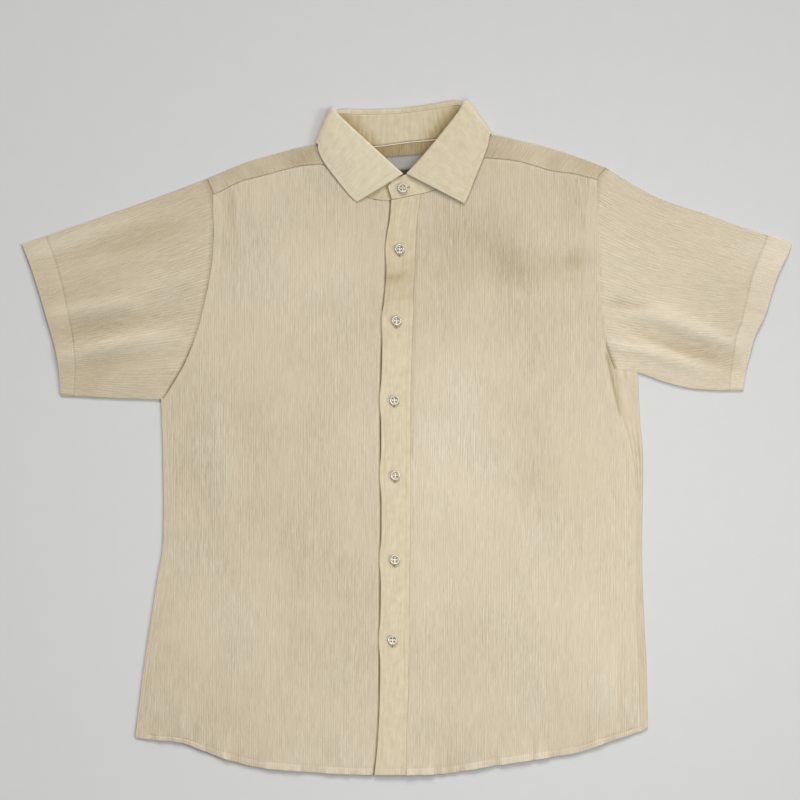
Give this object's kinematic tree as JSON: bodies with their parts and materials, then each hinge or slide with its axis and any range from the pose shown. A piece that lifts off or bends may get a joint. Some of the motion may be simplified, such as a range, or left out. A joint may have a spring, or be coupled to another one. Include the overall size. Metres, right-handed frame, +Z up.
{
  "type": "short-sleeved button-front shirt",
  "caption": "Short-sleeved button-front shirt in light crinkled cotton, with a pointed collar on a stand, a front placket and a shoulder yoke, buttoned up and laid flat.",
  "frame": {"origin": "on the surface the shirt lies on, under the middle of its outline", "axes": "+Z up from the surface, +Y from the hem to the collar, +X to the wearer's left"},
  "size_m": [0.892, 0.7815, 0.0134],
  "materials": {
    "shirting": "crinkled",
    "doubled": "smooth",
    "label": "woven",
    "buttons": "pearly"
  },
  "bodies": {
    "root": {"back": "shirting", "yoke": "shirting", "front_right": "shirting", "front_left": "shirting", "sleeve_right": "shirting", "sleeve_left": "shirting", "placket": "doubled", "collar_stand": "doubled", "collar_fall": "doubled", "neck_label": "label", "button_collar": "buttons", "button_1": "buttons", "button_2": "buttons", "button_3": "buttons", "button_4": "buttons", "button_5": "buttons", "button_6": "buttons"}
  },
  "joints": []
}
